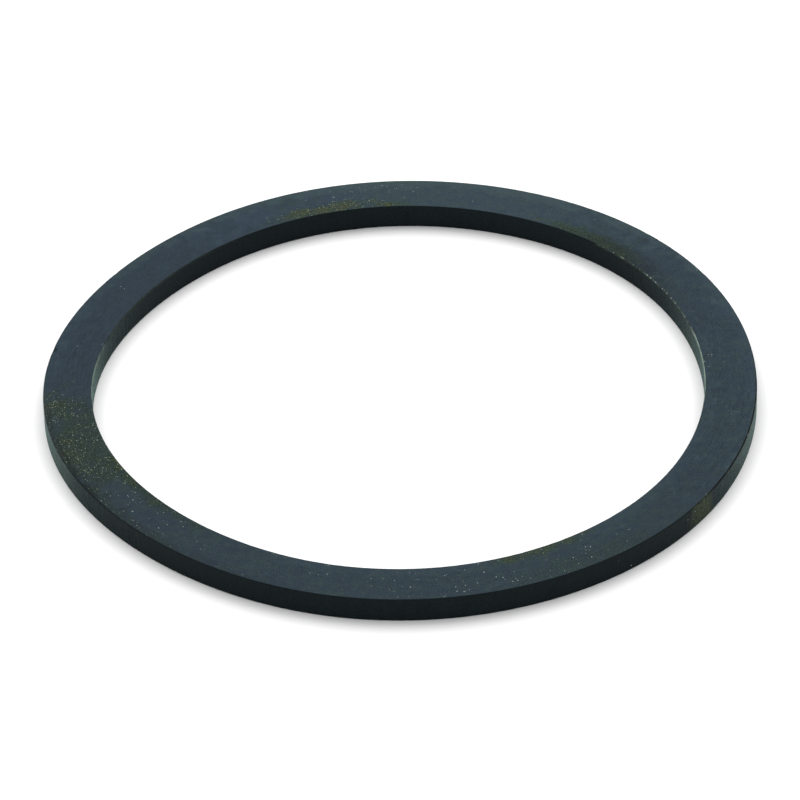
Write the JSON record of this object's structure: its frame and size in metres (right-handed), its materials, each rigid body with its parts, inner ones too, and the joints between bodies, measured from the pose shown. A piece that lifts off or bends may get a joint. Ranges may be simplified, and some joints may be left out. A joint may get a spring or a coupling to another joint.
{
  "type": "sink trap gasket",
  "caption": "Flat black rubber ring of rectangular section with lightly broken corners, clamped between the body and the cap of a sink trap to seal the joint.",
  "frame": {"origin": "centre of the ring, on its lower sealing face", "axes": "+Z along the axis of the ring, up out of the upper sealing face; X and Y lie in the lower face and are alike"},
  "size_m": [0.089, 0.089, 0.0032],
  "materials": {
    "rubber": "matte black rubber with a blue-grey bloom, knife lines round the flat faces, and light olive dust"
  },
  "bodies": {
    "root": {"gasket": "rubber"}
  },
  "joints": []
}
